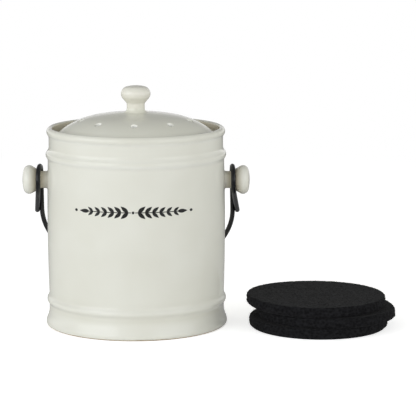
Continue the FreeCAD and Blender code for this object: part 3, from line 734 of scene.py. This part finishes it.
# %% Fibres on each pad
CLEAR = 2.0 * MM
fuzz, fuzz_keys = fuzz_tree()
for seed, (node, body, *_) in enumerate(PADS, 1):
    sizes = dict(FIBRE_SIZES, Seed=seed, Lowest=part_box(node)[0][2] + CLEAR)
    if node == "fitted_filter":
        sizes.update({"Facing": -1.0, "Least Facing": 0.5, "Lowest": 0.0})
    fibres = grown(f"{node}_fibres", fuzz, fuzz_keys, sizes, felt_pads[node].data)
    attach(fibres, body)
    print(fibres.name, len(fibres.data.polygons), "faces")

# %% [markdown]
# ## Floor, light and background
# The bin stands on a white paper sweep. Most of its light is a fill from low down on all sides, as
# white walls give it, and two large soft boxes add a gentle slope, a stronger one at the front left and
# a weaker one at the front right. All of it comes in low, so the lid's top stays greyer than the wall.
# The floor and the background are white to the camera and through glass, but the floor keeps its shadow,
# because only part of its light is its own. In gloss the floor is grey near the bin and dim further out,
# and the background is white at the horizon and dim above: that gives pale glaze its darker edges.

# %% Floor
FLOOR_REACH = 6.0
FLOOR_GLOW = 0.62
PAPER = 0.9
GLOSS_NEAR = 0.38
GLOSS_FAR = 0.09
GLOSS_NEAR_END = 0.15
GLOSS_FAR_START = 0.9
FAR_FILL = 0.59
NEAR_END = 0.4
FAR_START = 1.2


def by_ray(tree, eye, gloss, rest):
    """A level to the camera and through glass, another one in gloss, and another to the rest."""
    path = add(tree, "ShaderNodeLightPath").outputs
    seen = add(tree, "ShaderNodeMath", {0: path["Is Camera Ray"], 1: path["Is Transmission Ray"]},
               operation="MAXIMUM")
    unseen = add(tree, "ShaderNodeMix", {"Factor": path["Is Glossy Ray"], "A": rest, "B": gloss})
    return add(tree, "ShaderNodeMix", {"Factor": seen, "A": unseen, "B": eye})


def paper_sweep(name):
    """Matt white paper that glows to the camera, and fades into plain white further out."""
    material, tree, place = start_material(name)
    reach = add(tree, "ShaderNodeVectorMath", {0: place}, operation="LENGTH")
    mirrored = add(tree, "ShaderNodeMapRange", {
        "Value": reach, "From Min": GLOSS_NEAR_END, "From Max": GLOSS_FAR_START,
        "To Min": GLOSS_NEAR, "To Max": GLOSS_FAR})
    paper = add(tree, "ShaderNodeBsdfDiffuse", {"Color": by_ray(tree, PAPER, 0.0, PAPER)})
    glow = add(tree, "ShaderNodeEmission", {"Strength": by_ray(tree, FLOOR_GLOW, mirrored, 0.0)})
    near = add(tree, "ShaderNodeAddShader", {0: paper, 1: glow})
    far = add(tree, "ShaderNodeEmission", {"Strength": by_ray(tree, 1.0, mirrored, FAR_FILL)})
    share = add(tree, "ShaderNodeMapRange", {
        "Value": reach, "From Min": NEAR_END, "From Max": FAR_START})
    return end_material(material, add(tree, "ShaderNodeMixShader", {0: share, 1: near, 2: far}))


corners = [(x * FLOOR_REACH, y * FLOOR_REACH, 0.0) for x, y in ((-1, -1), (1, -1), (1, 1), (-1, 1))]
floor_mesh = bpy.data.meshes.new("floor")
floor_mesh.from_pydata(corners, [], [(0, 1, 2, 3)])
floor = new_piece("floor", floor_mesh)
dress(floor, paper_sweep("white_paper_sweep"))
print("floor in m:", 2 * FLOOR_REACH)

# %% Lights and background
# Each soft box's name, place, width and height in metres, and its watts.
SOFT_BOXES = (
    ("left_soft_box", (-1.35, -1.1, 0.68), 1.9, 1.3, 15.4),
    ("right_soft_box", (1.4, -1.1, 0.68), 1.75, 1.3, 7.5))
SKY_LOW = 1.78
SKY_HIGH = 0.225
SKY_LOW_END = 0.1
SKY_HIGH_START = 0.6
CEILING = 0.33
HORIZON_END = 0.04
CEILING_START = 0.25
DAYLIGHT = "#F5F8FF"
WARM_ROOM = "#FDFDF8"
AIM = Vector((0.03, 0.0, 0.1))


def soft_box(name, place, width, height, watts):
    """A rectangular daylight lamp that faces the bin."""
    lamp = bpy.data.lights.new(name, "AREA")
    lamp.shape = "RECTANGLE"
    lamp.size = width
    lamp.size_y = height
    lamp.energy = watts
    lamp.color = linear(DAYLIGHT)[:3]
    holder = bpy.data.objects.new(name, lamp)
    holder.location = place
    holder.rotation_euler = (AIM - Vector(place)).to_track_quat("-Z", "Y").to_euler()
    scene.collection.objects.link(holder)


def studio_sky(name):
    """White to the eye, in gloss white at the horizon and dim above; its fill comes from low down."""
    world = bpy.data.worlds.new(name)
    world.use_nodes = True
    tree = world.node_tree
    tree.nodes.clear()
    way = add(tree, "ShaderNodeTexCoord").outputs["Generated"]
    high = add(tree, "ShaderNodeSeparateXYZ", {"Vector": way}).outputs["Z"]
    fill = add(tree, "ShaderNodeMapRange", {
        "Value": high, "From Min": SKY_LOW_END, "From Max": SKY_HIGH_START,
        "To Min": SKY_LOW, "To Max": SKY_HIGH})
    mirrored = add(tree, "ShaderNodeMapRange", {
        "Value": high, "From Min": HORIZON_END, "From Max": CEILING_START,
        "To Min": 1.0, "To Max": CEILING})
    bounced = add(tree, "ShaderNodeLightPath").outputs["Is Diffuse Ray"]
    tint = add(tree, "ShaderNodeMix", {
        "Factor": bounced, "A": linear("#FFFFFF"), "B": linear(WARM_ROOM)}, data_type="RGBA")
    glow = add(tree, "ShaderNodeBackground", {
        "Color": tint, "Strength": by_ray(tree, 1.0, mirrored, fill)})
    add(tree, "ShaderNodeOutputWorld", {"Surface": glow})
    return world


for box in SOFT_BOXES:
    soft_box(*box)
scene.world = studio_sky("studio_sky")
